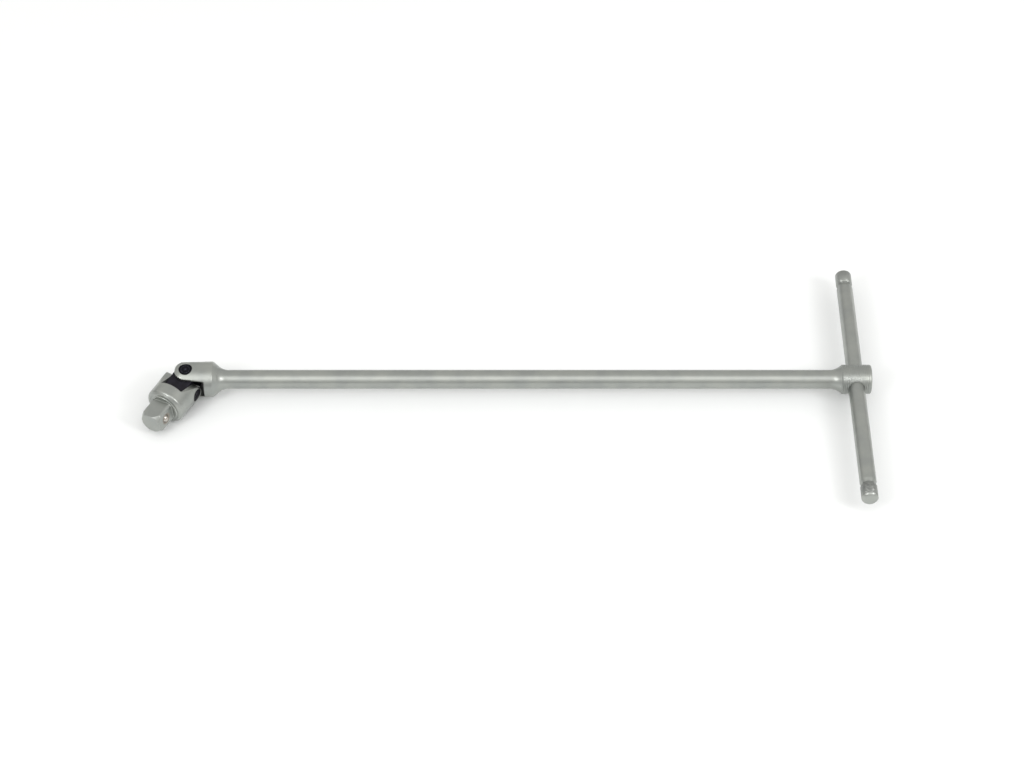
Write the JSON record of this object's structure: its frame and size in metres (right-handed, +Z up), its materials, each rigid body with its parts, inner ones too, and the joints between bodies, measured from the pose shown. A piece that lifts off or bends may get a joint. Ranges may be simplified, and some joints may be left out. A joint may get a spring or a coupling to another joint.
{
  "type": "sliding t-handle wrench with jointed square drive",
  "caption": "Long shaft with a sliding cross bar at one end and a universal-jointed square drive with a ball detent at the other, for turning sockets at an angle.",
  "frame": {"origin": "centre of the hub's end face, on the shaft's axis", "axes": "+X along the shaft, out of the hub's end face, away from the drive; +Y along the cross bar; +Z up from the bench"},
  "size_m": [0.4406, 0.1912, 0.0252],
  "materials": {
    "satin_chrome": "satin chrome plating over turned and bead-blasted steel",
    "black_oxide": "black phosphate, slightly oily",
    "ball_steel": "polished hardened steel",
    "spring_steel": "drawn spring wire"
  },
  "bodies": {
    "shaft": {"shaft": "satin_chrome", "hub_plug": "satin_chrome", "bar_detent_spring": "spring_steel", "fork_pin": "black_oxide"},
    "bar": {"cross_bar": "satin_chrome"},
    "bar_ball": {"bar_detent_ball": "ball_steel"},
    "block": {"centre_block": "black_oxide"},
    "drive": {"drive_head": "satin_chrome", "drive_pin": "black_oxide", "drive_ball_spring": "spring_steel"},
    "ball": {"drive_ball": "ball_steel"}
  },
  "joints": [
    {"name": "bar_slide", "type": "slide", "parent": "shaft", "child": "bar", "axis": [0, 1, 0], "range_m": [-0.0811, 0.0871]},
    {"name": "bar_ball_press", "type": "slide", "parent": "shaft", "child": "bar_ball", "axis": [-1, 0, 0], "range_m": [0, 0.0006], "stiffness_N_per_m": 800, "springref_m": -0.001, "deforming": ["bar_detent_spring"]},
    {"name": "fork_swing", "type": "hinge", "parent": "shaft", "child": "block", "pos_m": [-0.416, 0, 0], "axis": [0, -0.1305, 0.9914], "range_deg": [-126.5, 3.5]},
    {"name": "drive_tilt", "type": "hinge", "parent": "block", "child": "drive", "pos_m": [-0.41948, -0.00636, -0.00084], "axis": [-0.8788, 0.4731, 0.0623], "range_deg": [-43.5, 36.5]},
    {"name": "drive_ball_press", "type": "slide", "parent": "drive", "child": "ball", "axis": [-0.8743, 0.4792, -0.077], "range_m": [0, 0.0011], "stiffness_N_per_m": 1000, "springref_m": -0.0015, "deforming": ["drive_ball_spring"]}
  ]
}
